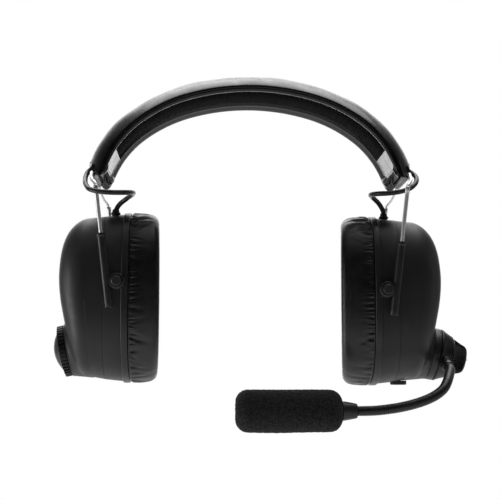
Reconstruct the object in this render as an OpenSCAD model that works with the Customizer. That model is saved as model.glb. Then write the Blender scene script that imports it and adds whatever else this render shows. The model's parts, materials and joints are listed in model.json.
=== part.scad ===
// Over-ear hearing-protector headset with a boom microphone.
// Origin: middle of the head pad's underside. +X is the wearer's microphone side,
// -Y is the side the boom points to, +Z is up. Millimetres.

/* [Cups] */
// height of the cup flange, top to bottom
cup_h = 104.4; // [98:0.1:108]
// width of the cup flange, front to back
cup_w = 76.4; // [72:0.1:77]
// distance from the middle plane to the back of each ear cushion
flange_x = 73; // [71:0.1:75]
// depth of the cup behind the flange, upper part
cup_depth = 43.6; // [42:0.1:46]
// height of the left cup's centre
left_cup_z = -126.1; // [-128:0.1:-125]
// height of the right cup's centre
right_cup_z = -127.7; // [-129:0.1:-126]
// wall thickness of the moulded cups
wall = 2.2; // [1.8:0.1:2.6]

/* [Ear cushions] */
// free thickness of the ear cushions
cushion_t = 16.8; // [12:0.1:20]
// width of the cushion's rim, front to back
rim_w = 15; // [12:0.5:17]

/* [Headband] */
// radius of the crown's outer surface
crown_r = 150; // [142:1:156]
// radius of the shoulder's outer surface
shoulder_r = 105; // [98:1:108]
// radius of the side's outer surface
side_r = 75; // [72:1:78]
// thickness of the padded band
band_t = 13.6; // [12.5:0.1:15]
// half the width of the band, front to back
band_hw = 26.4; // [25:0.1:28]
// half the width of the head pad
pad_hw = 17.5; // [15:0.5:19]

/* [Sliders] */
// diameter of the steel rods
rod_d = 2.4; // [2:0.1:3]
// outside diameter of the plastic sleeves
sleeve_d = 4.8; // [4.4:0.1:5.4]
// length of the sleeves
sleeve_l = 43.6; // [40:0.1:46]
// lean of the rods from the vertical
rod_tilt = 7; // [6:0.1:8]
// height of the left cup's pivot
left_pivot_z = -119.4; // [-121:0.1:-118]
// height of the right cup's pivot
right_pivot_z = -123.9; // [-125:0.1:-122]

/* [Microphone] */
// diameter of the gooseneck
neck_d = 5.8; // [5:0.1:6]
// diameter of the foam windscreen
foam_d = 24; // [20:0.5:28]
// length of the foam windscreen
foam_l = 60; // [50:1:64]

/* [Leads] */
// diameter of the leads
lead_d = 3; // [2.5:0.1:3.3]

/* [Hidden] */
u1 = [0.28, 0.96];
u2 = [0.6, 0.8];
u_pad = [0.8432, 0.5376];
u_end = dir(70);
c1 = [0, band_t - crown_r];
c2 = c1 + (crown_r - shoulder_r) * u1;
c3 = c2 + (shoulder_r - side_r) * u2;
hinge_x = 96.5;
hinge_z = -51.2;
rod_y = 42.5;
rod_x = 85.7;
rod_z = -115.3;
boss_x = 79.2;
bail_d = 1.6;
hz = cup_h / 2 - 0.5;
hy = cup_w / 2 - 0.5;
seam_x = 88;
ring_t = 4.2;
tilt = atan(0.2);
slope = 0.2;
N = 64;
bk = [0.13, 0.13, 0.135];
bk2 = [0.18, 0.18, 0.185];
steel = [0.72, 0.73, 0.75];
foam_c = [0.16, 0.16, 0.16];
green = [0.1, 0.3, 0.15];

// ---------- helpers ----------

function cupz(s) = s < 0 ? left_cup_z : right_cup_z;
function pivz(s) = s < 0 ? left_pivot_z : right_pivot_z;
function unit(v) = v / norm(v);
function sgn(v) = v < 0 ? -1 : 1;

// rounded-rectangle outline (superellipse) at angle a, half sizes y and z
function se(a, y, z) = [y * sgn(cos(a)) * pow(abs(cos(a)), 2 / 2.6),
                        z * sgn(sin(a)) * pow(abs(sin(a)), 2 / 2.6)];

// closed skin over equal rings of points
module skin(rings) {
  n = len(rings[0]);
  m = len(rings);
  pts = [for (r = rings) for (p = r) p];
  sides = [for (i = [0:m - 2]) for (j = [0:n - 1]) let(k = (j + 1) % n)
           each [[i * n + j, (i + 1) * n + j, i * n + k], [(i + 1) * n + j, (i + 1) * n + k, i * n + k]]];
  polyhedron(pts, concat(sides, [[for (j = [0:n - 1]) j]], [[for (j = [n - 1:-1:0]) (m - 1) * n + j]]));
}

// smooth curve through design points
function cr(p0, p1, p2, p3, t) = 0.5 * (2 * p1 + (p2 - p0) * t
  + (2 * p0 - 5 * p1 + 4 * p2 - p3) * t * t + (3 * p1 - p0 - 3 * p2 + p3) * t * t * t);
function smooth(P, k) = let(n = len(P)) [
  for (i = [0:n - 2]) for (j = [0:k - 1])
    cr(P[max(i - 1, 0)], P[i], P[i + 1], P[min(i + 2, n - 1)], j / k),
  P[n - 1]];
function along(P, i) = unit(P[min(i + 1, len(P) - 1)] - P[max(i - 1, 0)]);
function sides(P, i, v) = i >= len(P) ? [] :
  let(t = along(P, i), w = unit(v - (v * t) * t)) concat([w], sides(P, i + 1, w));

// round tube that follows the points
module sweep(P, r, n = 12) {
  S = sides(P, 0, [0.31, 0.22, 0.93]);
  skin([for (i = [0:len(P) - 1]) let(t = along(P, i), u = S[i], w = cross(t, u))
    [for (j = [0:n - 1]) P[i] + r * (cos(360 * j / n) * u + sin(360 * j / n) * w)]]);
}

// unit direction at band angle a, measured from straight up
function dir(a) = [sin(a), cos(a)];

// one arc of the band between two directions: profile in (height above the
// underside, back-to-front)
module arc(c, r, ua, ub) {
  translate([c[0], 0, c[1]])
    difference() {
      rotate([90, 0, 0])
        rotate_extrude($fn = 180)
          translate([r - band_t, 0])
            children();
      facing(ua)
        translate([-300, -60, -300])
          cube([300, 120, 600]);
      facing(ub)
        translate([0, -60, -300])
          cube([300, 120, 600]);
    }
}

// turn +Z to the direction u in the XZ plane
module facing(u) {
  multmatrix([[u[1], 0, u[0], 0], [0, 1, 0, 0], [-u[0], 0, u[1], 0], [0, 0, 0, 1]])
    children();
}

// the whole band, out to the direction ue on both sides
module band(ue) {
  arc(c1, crown_r, [-u1[0], u1[1]], u1)
    children();
  for (m = [0, 1])
    mirror([m, 0, 0]) {
      arc(c2, shoulder_r, u1, u2)
        children();
      arc(c3, side_r, u2, ue)
        children();
    }
}

// domed outline of the cover, shrunk by d all round
function dome(d) = let(w = band_hw - d, h = band_t - d - 2, R = (w * w + h * h) / (2 * h),
  A = asin(w / R)) [for (i = [0:20]) let(a = A - 2 * A * i / 20)
  [2 + h - R + R * cos(a), R * sin(a)]];
function closed_outline(d) = concat(dome(d), [[0.2 + d, 0.8 * d - band_hw], [d - 1.1, 1 - band_hw + d],
  [d - 0.9, 3 - band_hw + d], [0.6 + d, 6 - band_hw + d]], [[0.6 + d, band_hw - 6 - d],
  [d - 0.9, band_hw - 3 - d], [d - 1.1, band_hw - 1 - d], [0.2 + d, band_hw - 0.8 * d]]);

module cover_profile() {
  difference() {
    polygon(closed_outline(0));
    polygon(closed_outline(1.5));
  }
}

// ---------- headband ----------

module headband_cover() {
  color(bk)
    difference() {
      band(u_end)
        cover_profile();
      band(u_pad)
        translate([-3, -pad_hw])
          square([6.5, 2 * pad_hw]);
    }
}

module headband_pad() {
  w = pad_hw - 0.2;
  color(foam_c)
    band(dir(57.2))
      polygon(concat([for (i = [-12:12]) let(y = w * i / 12) [2.55 * pow(abs(y) / w, 2.4), y]],
        [[3.3, w], [3.3, -w]]));
}

module headband_foam() {
  color(foam_c)
    band(u_pad)
      difference() {
        polygon(closed_outline(1.6));
        translate([-3, -band_hw])
          square([6.8, 2 * band_hw]);
        translate([4.1, -12.2])
          square([1.2, 24.4]);
        translate([8.8, 9])
          circle(d = lead_d + 0.4, $fn = 24);
      }
}

module spring_strip() {
  color(steel)
    difference() {
      band(dir(66))
        translate([4.3, -12])
          square([0.8, 24]);
      for (m = [0, 1], y = [-5.4, 5.4])
        mirror([m, 0, 0])
          on_band(64, 4.7, y)
            cylinder(d = 3, h = 4, center = true, $fn = 32);
    }
}

// place children at band angle a, height h above the underside, pointing out
module on_band(a, h, y) {
  r = side_r - band_t + h;
  translate([c3[0] + r * sin(a), y, c3[1] + r * cos(a)])
    rotate([0, a, 0])
      children();
}

module band_clip(s) {
  r0 = side_r - band_t;
  color(bk)
    mirror([s < 0 ? 1 : 0, 0, 0])
      difference() {
        union() {
          arc(c3, side_r, dir(60), dir(73.2))
            translate([5.1, -17.4])
              square([1.6, 34.8]);
          arc(c3, side_r, dir(70.4), dir(73.2))
            translate([3.4, 11.4])
              square([5.4, 8.6]);
          arc(c3, side_r, dir(70.4), dir(73.2))
            translate([3.4, -20])
              square([5.4, 26.6]);
          translate([hinge_x, 0, hinge_z])
            rotate([90, 0, 0])
              cylinder(d = 4.8, h = 40, center = true, $fn = 48);
        }
        translate([hinge_x, 0, hinge_z])
          rotate([90, 0, 0])
            cylinder(d = bail_d + 0.1, h = 50, center = true, $fn = 32);
        for (y = [-5.4, 5.4])
          on_band(64, 4.7, y)
            cylinder(d = 3, h = 8, center = true, $fn = 32);
      }
}

module strip_rivets() {
  color(steel)
    for (m = [0, 1], y = [-5.4, 5.4])
      mirror([m, 0, 0])
        on_band(64, 4.25, y) {
          translate([0, 0, -0.85])
            cylinder(d = 4.6, h = 0.85, $fn = 32);
          cylinder(d = 2.9, h = 2.6, $fn = 32);
          translate([0, 0, 2.55])
            cylinder(d = 4.6, h = 0.8, $fn = 32);
        }
}

module crossover_lead() {
  color(bk)
    band(dir(67.5))
      translate([8.8, 9])
        circle(d = lead_d, $fn = 24);
}

// ---------- sliders ----------

// put children on the rod's axis: origin at height z, +Z along the rod
module on_rod(y, z) {
  translate([rod_x + (z - rod_z) * tan(rod_tilt), y, z])
    rotate([0, rod_tilt, 0])
      children();
}

module bail_wire(s) {
  e = [rod_x + (-66 - rod_z) * tan(rod_tilt), rod_y, -66];
  half = [[hinge_x, 21.5, hinge_z], [hinge_x, 23.6, hinge_z - 0.4], [hinge_x - 0.1, 26, hinge_z - 1.8],
    [hinge_x - 0.6, 31, hinge_z - 4.6], [hinge_x - 1.8, 37, hinge_z - 7.6], [e[0] + 0.8, rod_y - 0.7, -61.6],
    [e[0] + 0.2, rod_y, -64.4], e];
  P = smooth(half, 4);
  n = len(P);
  color(steel)
    mirror([s < 0 ? 1 : 0, 0, 0]) {
      sweep(P, bail_d / 2);
      sweep([for (i = [n - 1:-1:0]) [P[i][0], -P[i][1], P[i][2]]], bail_d / 2);
      translate([hinge_x, 0, hinge_z])
        rotate([90, 0, 0])
          cylinder(d = bail_d, h = 44, center = true, $fn = 32);
    }
}

module rod(s, y) {
  color(steel)
    mirror([s < 0 ? 1 : 0, 0, 0])
      difference() {
        on_rod(y, -131)
          cylinder(d = rod_d, h = 68.5, $fn = 48);
        on_rod(y, -66.6)
          cylinder(d = bail_d + 0.2, h = 6, $fn = 32);
      }
}

module sleeve(s, y) {
  mid = pivz(s) + 6.35;
  f = sgn(y);
  zb = mid - sleeve_l / 2 * cos(rod_tilt);
  color(bk2)
    mirror([s < 0 ? 1 : 0, 0, 0])
      difference() {
        union() {
          on_rod(y, zb)
            cylinder(d = sleeve_d, h = sleeve_l, $fn = 64);
          on_rod(y, zb) {
            translate([0, 0, sleeve_l - 1.6])
              cylinder(d = sleeve_d + 0.8, h = 1.6, $fn = 64);
          }
          translate([boss_x, f * 38.7, pivz(s)])
            rotate([f * -90, 0, 0])
              cylinder(d = 9.3, h = 6, $fn = 64);
          translate([boss_x, f * 41.5 - 1.5, pivz(s) - 3.2])
            cube([rod_x + (pivz(s) - rod_z) * tan(rod_tilt) - boss_x, 3, 6.4]);
        }
        on_rod(y, zb - 5)
          cylinder(d = rod_d + 0.12, h = sleeve_l + 10, $fn = 48);
        translate([boss_x, f * 36, pivz(s)])
          rotate([f * -90, 0, 0])
            cylinder(d = 3.1, h = 12, $fn = 48);
      }
}

module pivot_screws(s) {
  color(bk)
    mirror([s < 0 ? 1 : 0, 0, 0])
      for (f = [-1, 1])
        translate([boss_x, 0, pivz(s)])
          rotate([f * -90, 0, 0]) {
            translate([0, 0, 32.2])
              cylinder(d = 2.5, h = 6.4, $fn = 48);
            translate([0, 0, 38.5])
              cylinder(d = 3, h = 6.4, $fn = 48);
            translate([0, 0, 44.8])
              cylinder(d = 6.1, h = 1.1, $fn = 48);
            translate([0, 0, 45.9])
              cylinder(d1 = 6.1, d2 = 4.9, h = 0.5, $fn = 48);
          }
}

// ---------- cups ----------

// place children at the cup's centre, outboard along +X
module at_cup(s) {
  mirror([s < 0 ? 1 : 0, 0, 0])
    translate([0, 0, cupz(s)])
      children();
}

function taper(x) = 1 - 0.00207 * (x - flange_x);

// depth of the cup at height z from its centre
function depth(z) = z >= 16 ? cup_depth : z > -8 ? cup_depth - 0.00417 * (16 - z) * (16 - z)
  : cup_depth - 2.4 - slope * (-8 - z);

// rounded rings of the outer cup, inset by d
function cover_rings(d) = let(k0 = taper(seam_x)) concat(
  [for (f = [0, 0.2, 0.41]) [for (j = [0:N - 1]) ring_point(360 * j / N, f, k0 * (1 - 0.065 * f), d)]],
  [for (i = [1:9]) [for (j = [0:N - 1]) let(a = 360 * j / N, w = pow((1 - sin(a)) / 2, 5),
    q = 1.5 + 2.75 * w, b = i < 9 ? 9.5 * i : 88.6)
    ring_point(a, 0.41 + 0.59 * pow(sin(b), 2 / q), k0 * 0.973 * pow(cos(b), 2 / 4.4), d)]]);
function ring_point(a, f, k, d) = let(p = se(a, (hy - d) * k, (hz - d) * k))
  [seam_x + f * (depth(p[1]) - (seam_x - flange_x) - d), p[0], p[1]];

// the dial or boom seat on the lower outer face; +Z points out along its axis
seat_z = -32.3;
seat_x = flange_x + cup_depth - 2.4 - slope * (-8 - seat_z) + 1.8;
seat_d = 32.6;
module at_seat() {
  translate([seat_x, 0, seat_z])
    rotate([0, 90 + tilt, 0])
      children();
}

// solid body of the outer cup with the raised seat, inset by d
module cover_body(d) {
  rings = cover_rings(d);
  skin(rings);
  hull() {
    skin([rings[1], rings[2]]);
    at_seat()
      translate([0, 0, -1 - d])
        cylinder(d = seat_d - 2 * d, h = 1, $fn = 96);
  }
}

module posts() {
  for (y = [-22, 22], z = [-33, 33])
    translate([77.4, y, z])
      rotate([0, 90, 0])
        cylinder(d = 6.5, h = depth(z) + flange_x - 77.4, $fn = 32);
}

module cup_cover(s) {
  color(bk)
    at_cup(s)
      difference() {
        union() {
          difference() {
            cover_body(0);
            translate([-0.01, 0, 0])
              cover_body(wall);
          }
          intersection() {
            posts();
            union() {
              cover_body(0.4);
              translate([70, -hy, -hz])
                cube([seam_x - 69.9, 2 * hy, 2 * hz]);
            }
          }
          at_seat()
            translate([0, 0, -6])
              cylinder(d = 20, h = 5.8, $fn = 64);
        }
        for (y = [-22, 22], z = [-33, 33])
          translate([76, y, z])
            rotate([0, 90, 0])
              cylinder(d = 2.4, h = 14, $fn = 32);
        at_seat()
          translate([0, 0, -8])
            cylinder(d = 8.1, h = 12, $fn = 48);
        if (s > 0)
          translate([92.2, -4, -hz - 2])
            cylinder(d = 5.1, h = 8, $fn = 48);
        if (s > 0)
          translate([91, -4, -hz * taper(91) - 2])
            port_outline(10.4, 7.4, 2.6);
      }
}

module port_outline(l, w, h) {
  for (x = [-1, 1])
    translate([x * (l - w) / 2, 0, 0])
      cylinder(d = w, h = h, $fn = 64);
  translate([-(l - w) / 2, -w / 2, 0])
    cube([l - w, w, h]);
}

function frame_ring(x, d) = [for (j = [0:N - 1])
  let(p = se(360 * j / N, (hy - d) * taper(x), (hz - d) * taper(x))) [x, p[0], p[1]]];

module cup_frame(s) {
  pz = pivz(s) - cupz(s);
  gy = s < 0 ? -6 : -5;
  color(bk)
    at_cup(s)
      difference() {
        union() {
          difference() {
            skin([frame_ring(flange_x + ring_t + 0.1, 0), frame_ring(seam_x - 0.1, 0)]);
            skin([frame_ring(flange_x + 1, wall), frame_ring(seam_x + 3, wall)]);
          }
          for (f = [-1, 1])
            translate([boss_x + 2.6, f * 32, pz])
              rotate([f * -90, 0, 0])
                cylinder(d = 9, h = 5, $fn = 48);
          for (f = [-1, 1])
            translate([boss_x, f * 36, pz])
              rotate([f * -90, 0, 0])
                cylinder(d = 3.9, h = 2.4, $fn = 48);
        }
        for (f = [-1, 1])
          translate([boss_x, f * 31, pz])
            rotate([f * -90, 0, 0])
              cylinder(d = 2.5, h = 9, $fn = 48);
        translate([83.2, gy, hz - 12])
          cylinder(d = 5, h = 16, $fn = 48);
        if (s > 0)
          translate([91, -4, -hz * taper(91) - 2])
            port_outline(10.4, 7.4, 2.6);
      }
}

function outline(y, z) = [for (j = [0:N - 1]) se(360 * j / N, y, z)];

// plate across the cup: outline in (front-to-back, height), pushed out along X
module plate(x, t) {
  translate([x, 0, 0])
    rotate([90, 0, 90])
      linear_extrude(t)
        children();
}

module cup_ring(s) {
  color(bk2)
    at_cup(s)
      plate(flange_x, ring_t)
        difference() {
          polygon(outline(cup_w / 2, cup_h / 2));
          polygon(outline(cup_w / 2 - 6, cup_h / 2 - 6));
        }
}

module baffle(s) {
  color(bk2)
    at_cup(s)
      difference() {
        plate(flange_x + 0.8, 2.6)
          polygon(outline(cup_w / 2 - 6.2, cup_h / 2 - 6.2));
        for (y = [-12:6:12], z = [-12:6:12])
          translate([flange_x, y, z])
            rotate([0, 90, 0])
              cylinder(d = 3, h = 5, $fn = 24);
        for (y = [-22, 22], z = [-33, 33])
          translate([flange_x, y, z])
            rotate([0, 90, 0])
              cylinder(d = 2.6, h = 6, $fn = 32);
      }
}

module cup_screws(s) {
  color(steel)
    at_cup(s)
      for (y = [-22, 22], z = [-33, 33])
        translate([flange_x + 0.1, y, z])
          rotate([0, 90, 0]) {
            cylinder(d = 4.6, h = 0.7, $fn = 32);
            cylinder(d = 2.4, h = 12, $fn = 32);
          }
}

// soft ring around the ear; rounded section, D-shaped opening
module ear_cushion(s) {
  t = cushion_t - 0.1;
  prof = [[0, 0.06], [0, 0.94], [-1.2, 1], [-6, 1.005], [-10.5, 0.985], [-13.6, 0.93], [-15.7, 0.83],
    [-t, 0.66], [-t, 0.3], [-16, 0.12], [-14.2, 0.03], [-11, 0], [-1.5, 0]];
  m = len(prof);
  pts = [for (j = [0:N - 1]) let(o = se(360 * j / N, cup_w / 2 + 0.1, cup_h / 2 + 0.1),
    i = se(360 * j / N, cup_w / 2 - rim_w, cup_h / 2 - rim_w - 2))
    for (p = prof) let(q = i + (o - i) * p[1]) [flange_x - 0.05 + p[0], q[0], q[1]]];
  faces = [for (j = [0:N - 1]) for (k = [0:m - 1]) let(a = j * m + k, b = j * m + (k + 1) % m,
    c = ((j + 1) % N) * m + k, d = ((j + 1) % N) * m + (k + 1) % m) each [[a, c, b], [b, c, d]]];
  color(bk)
    at_cup(s)
      polyhedron(pts, faces);
}

module ear_liner(s) {
  color(foam_c)
    at_cup(s)
      plate(flange_x - 1.6, 1.6)
        polygon(outline(cup_w / 2 - rim_w - 0.2, cup_h / 2 - rim_w - 2.2));
}

module driver(s) {
  color(bk2)
    at_cup(s)
      difference() {
        translate([flange_x + 3.5, 0, 0])
          rotate([0, 90, 0]) {
            cylinder(d = 40, h = 1.6, $fn = 64);
            cylinder(d = 34, h = 5, $fn = 64);
            cylinder(d = 16, h = 7.5, $fn = 48);
          }
        translate([flange_x + 3, 0, 0])
          rotate([0, 90, 0])
            cylinder(d = 28, h = 3.5, $fn = 64);
      }
}

module circuit_board(s) {
  color(green)
    at_cup(s)
      difference() {
        union() {
          translate([92, -19.6, -16])
            cube([1.6, 39.2, 45]);
          translate([93.5, -8, 6])
            cube([2, 14, 14]);
          translate([93.5, 9, -8])
            cube([3.5, 7, 10]);
        }
        for (z = [-12, 25], y = [-16, 16])
          translate([90, y, z])
            rotate([0, 90, 0])
              cylinder(d = 2.5, h = 5, $fn = 24);
      }
}

module battery() {
  color(steel)
    at_cup(-1)
      translate([85, -17, -12])
        cube([6.9, 34, 42]);
}

module grommet(s) {
  gy = s < 0 ? -6 : -5;
  z = hz * taper(83.2);
  color(bk)
    at_cup(s)
      translate([83.2, gy, z - 4])
        difference() {
          union() {
            cylinder(d = 4.96, h = 4.8, $fn = 48);
            translate([0, 0, 4.6])
              cylinder(d = 6.2, h = 0.9, $fn = 48);
          }
          translate([0, 0, -1])
            cylinder(d = lead_d + 0.5, h = 8, $fn = 32);
        }
}

// ---------- leads ----------

module lead(s) {
  z = cupz(s) + hz * taper(83.2);
  L = [[95.4, -9, -43.4], [97.4, -9.2, -46.2], [100.2, -11, -49.4], [101, -16, -53.2], [100, -27, -58.6],
    [97.8, -36.5, -62.8], [95.2, -43.2, -65.6], [90, -47.3, -67.4], [83, -48.6, -68.2],
    [76, -43.5, -67.4], [71.6, -34, -65.8], [71.6, -22, -64.6], [76, -11, -65.6],
    [80.8, -6.6, -68.6], [83.1, -6, z + 3], [83.2, -6, z - 2], [83.2, -6, z - 8]];
  R = [[95.4, -9, -43.4], [97.4, -9.2, -46.2], [100.4, -11, -48.8], [102, -16, -52.2], [100.4, -24, -57],
    [96, -30, -61.4], [89.6, -34.2, -64.2], [82, -34.5, -65.4], [76, -31, -65.2], [73, -23, -64.4],
    [75, -12.5, -64], [80, -6, -67], [82.8, -5, -71.4], [83.2, -5, z + 2], [83.2, -5, z - 2],
    [83.2, -5, z - 8]];
  color(bk)
    mirror([s < 0 ? 1 : 0, 0, 0])
      sweep(smooth(s < 0 ? L : R, 4), lead_d / 2, 10);
}

// ---------- left dial ----------

module dial_switch() {
  color(bk2)
    at_cup(-1)
      at_seat() {
        translate([0, 0, -11])
          cylinder(d = 12, h = 4.9, $fn = 48);
        translate([0, 0, -6.2])
          cylinder(d = 8, h = 6.3, $fn = 48);
        cylinder(d = 6, h = 2.6, $fn = 48);
      }
}

module dial_ring() {
  n = 40;
  color(bk2)
    at_cup(-1)
      at_seat()
        difference() {
          translate([0, 0, 0.15]) {
            cylinder(d = 30, h = 4.4, $fn = 96);
            for (i = [0:n - 1])
              rotate([0, 0, 360 * i / n])
                translate([14.8, -0.5, 0.5])
                  cube([0.9, 1, 3.8]);
          }
          cylinder(d = 8.1, h = 3, center = true, $fn = 48);
          cylinder(d = 6.1, h = 12, center = true, $fn = 48);
          translate([0, 0, 2.6])
            cylinder(d = 26.2, h = 4, $fn = 96);
        }
}

module dial_button() {
  color(bk)
    at_cup(-1)
      at_seat()
        difference() {
          intersection() {
            translate([0, 0, 4.1 + 4.9 - 19.7])
              sphere(r = 19.7, $fn = 128);
            translate([0, 0, 4.1])
              cylinder(d = 26, h = 8, $fn = 96);
          }
          cylinder(d = 20, h = 5, $fn = 64);
        }
}

// ---------- right boom and knob ----------

module boom_base() {
  color(bk2)
    at_cup(1)
      at_seat()
        difference() {
          union() {
            cylinder(d = 32.2, h = 4.3, $fn = 96);
            translate([0, 0, -6.2])
              cylinder(d = 8, h = 6.3, $fn = 48);
            translate([0, 0, 4.2])
              cylinder(d = 12, h = 8.2, $fn = 64);
          }
          translate([0, 0, -8])
            cylinder(d = 4.1, h = 24, $fn = 48);
        }
}

module boom_collar() {
  color(bk)
    at_cup(1)
      at_seat()
        difference() {
          union() {
            translate([0, 0, 4.4])
              cylinder(d = 32, h = 1.2, $fn = 96);
            translate([0, 0, 5.6])
              cylinder(d1 = 32, d2 = 25.8, h = 6.9, $fn = 96);
            translate([0, 0, boom_h])
              boom_dir()
                translate([0, 0, 11.7])
                  cylinder(d = 7.6, h = 4.3, $fn = 64);
          }
          cylinder(d = 12.12, h = 20, $fn = 64);
          translate([0, 0, boom_h])
            boom_dir()
              translate([0, 0, 10])
                cylinder(d = 4.6, h = 10, $fn = 48);
        }
}

// height of the boom's axis above the seat
boom_h = 8.4;
// turn children so +Z is the way the boom leaves the collar
module boom_dir() {
  rotate([0, 0, 17])
    rotate([90, 0, 0])
      children();
}

module boom_ferrule() {
  color(steel)
    at_cup(1)
      at_seat()
        translate([0, 0, boom_h])
          boom_dir()
            difference() {
              union() {
                translate([0, 0, 10.5])
                  cylinder(d = 4.5, h = 6, $fn = 48);
                translate([0, 0, 16.1])
                  cylinder(d = 7.2, h = 8.4, $fn = 64);
                translate([0, 0, 24.5])
                  cylinder(d1 = 7.2, d2 = 6.5, h = 0.8, $fn = 64);
              }
              translate([0, 0, 21])
                cylinder(d = neck_d, h = 8, $fn = 64);
            }
}

// point on the boom's axis, at distance l from the knob's axis
function boom_at(l) = let(e1 = [0, -1, 0], e2 = [-sin(tilt), 0, -cos(tilt)], a = [cos(tilt), 0, -sin(tilt)])
  [seat_x, 0, seat_z + right_cup_z] + boom_h * a + l * (cos(17) * e1 + sin(17) * e2);

module gooseneck() {
  P = [boom_at(21.1), boom_at(26.5), boom_at(33), [112.6, -45, -178], [108.4, -51.5, -182.4],
    [101.5, -56, -186.4], [92.5, -58.8, -189.6], [82, -60, -192], [71, -60, -193.5], [63, -60, -193.9],
    [56.1, -60, -193.9]];
  color(bk)
    sweep(smooth(P, 5), neck_d / 2, 16);
}

module at_mic() {
  translate([49.7, -60, -193.9])
    rotate([0, 90, 0])
      children();
}

module mic_housing() {
  color(bk2)
    at_mic()
      difference() {
        union() {
          translate([0, 0, 0.2])
            cylinder(d1 = 11, d2 = 8.6, h = 8.2, $fn = 64);
          translate([0, 0, -22])
            cylinder(d = 8, h = 22.3, $fn = 64);
        }
        translate([0, 0, 6.3])
          cylinder(d = neck_d + 0.1, h = 4, $fn = 64);
        translate([0, 0, -23])
          cylinder(d = 6.1, h = 8, $fn = 48);
      }
}

module mic_capsule() {
  color(steel)
    at_mic()
      translate([0, 0, -24])
        difference() {
          union() {
            cylinder(d = 6, h = 9, $fn = 48);
            cylinder(d = 8, h = 1.9, $fn = 48);
          }
          for (i = [0:5])
            rotate([0, 0, 60 * i])
              translate([1.7, 0, -1])
                cylinder(d = 0.9, h = 2.2, $fn = 16);
          translate([0, 0, -1])
            cylinder(d = 0.9, h = 2.2, $fn = 16);
        }
}

module foam_windscreen() {
  r = foam_d / 2;
  c = 7;
  color(foam_c)
    translate([49.7 - foam_l, -60, -193.9])
      rotate([0, 90, 0])
        rotate_extrude($fn = 96)
          difference() {
            polygon(concat([[0, 0]], [for (a = [0:15:90]) [r - c + c * sin(a), c - c * cos(a)]],
              [for (a = [0:15:90]) [r - c + c * cos(a), foam_l - c + c * sin(a)]], [[0, foam_l]]));
            translate([-1, 35.6])
              square([5.05, 40]);
          }
}

module volume_knob() {
  n = 24;
  color(bk2)
    at_cup(1)
      at_seat()
        translate([0, 0, 12.7])
          difference() {
            union() {
              cylinder(d1 = 22.4, d2 = 15.4, h = 9.4, $fn = 96);
              for (i = [0:n - 1])
                rotate([0, 0, 360 * i / n])
                  translate([9.9, 0, 0])
                    rotate([0, -20.4, 0])
                      translate([0, -0.6, 0.4])
                        cube([1.4, 1.2, 8.8]);
            }
            translate([0, 0, -1])
              cylinder(d = 4.06, h = 6.4, $fn = 48);
          }
}

module volume_spindle() {
  color(steel)
    at_cup(1)
      at_seat() {
        translate([0, 0, -11])
          cylinder(d = 12, h = 4.6, $fn = 48);
        translate([0, 0, -6.5])
          cylinder(d = 4, h = 24.4, $fn = 48);
      }
}

module port_socket() {
  z = -hz * taper(91) + 0.7;
  color(steel)
    at_cup(1)
      translate([92.2, -4, z])
        difference() {
          union() {
            cylinder(d = 5, h = 3.6, $fn = 48);
            translate([0, 0, 3.4])
              cylinder(d = 7, h = 7.8, $fn = 48);
          }
          translate([0, 0, -1])
            cylinder(d = 3.6, h = 11, $fn = 48);
        }
}

module port_cover() {
  z = -hz * taper(91) + 0.55;
  color(bk)
    at_cup(1) {
      translate([91, -4, z - 2.6])
        port_outline(10, 7, 2.6);
      translate([92.2, -4, z - 0.1])
        cylinder(d = 3.5, h = 6, $fn = 48);
    }
}

// ---------- parts ----------

headband_cover();
headband_pad();
headband_foam();
spring_strip();
band_clip(-1);  // left_band_clip
band_clip(1);  // right_band_clip
strip_rivets();
crossover_lead();
bail_wire(-1);  // left_bail_wire
rod(-1, -rod_y);  // left_front_rod
rod(-1, rod_y);  // left_rear_rod
sleeve(-1, -rod_y);  // left_front_sleeve
sleeve(-1, rod_y);  // left_rear_sleeve
pivot_screws(-1);  // left_pivot_screws
cup_frame(-1);  // left_cup_frame
cup_cover(-1);  // left_cup_cover
cup_ring(-1);  // left_cup_ring
baffle(-1);  // left_baffle
cup_screws(-1);  // left_cup_screws
ear_cushion(-1);  // left_ear_cushion
ear_liner(-1);  // left_ear_liner
driver(-1);  // left_driver
circuit_board(-1);  // left_circuit_board
battery();  // left_battery
grommet(-1);  // left_grommet
lead(-1);  // left_lead
dial_switch();  // left_dial_switch
dial_ring();  // left_dial_ring
dial_button();  // left_dial_button
bail_wire(1);  // right_bail_wire
rod(1, -rod_y);  // right_front_rod
rod(1, rod_y);  // right_rear_rod
sleeve(1, -rod_y);  // right_front_sleeve
sleeve(1, rod_y);  // right_rear_sleeve
pivot_screws(1);  // right_pivot_screws
cup_frame(1);  // right_cup_frame
cup_cover(1);  // right_cup_cover
cup_ring(1);  // right_cup_ring
baffle(1);  // right_baffle
cup_screws(1);  // right_cup_screws
ear_cushion(1);  // right_ear_cushion
ear_liner(1);  // right_ear_liner
driver(1);  // right_driver
circuit_board(1);  // right_circuit_board
grommet(1);  // right_grommet
lead(1);  // right_lead
boom_base();
boom_collar();
boom_ferrule();
gooseneck();
mic_housing();
mic_capsule();
foam_windscreen();
volume_knob();
volume_spindle();
port_socket();
port_cover();
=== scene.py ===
"""Over-ear headset with a boom microphone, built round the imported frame."""
import json
from math import asin, atan, cos, pi, radians, sin, sqrt

import bmesh
import bpy
import numpy as np
from mathutils import Matrix, Vector, noise


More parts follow.
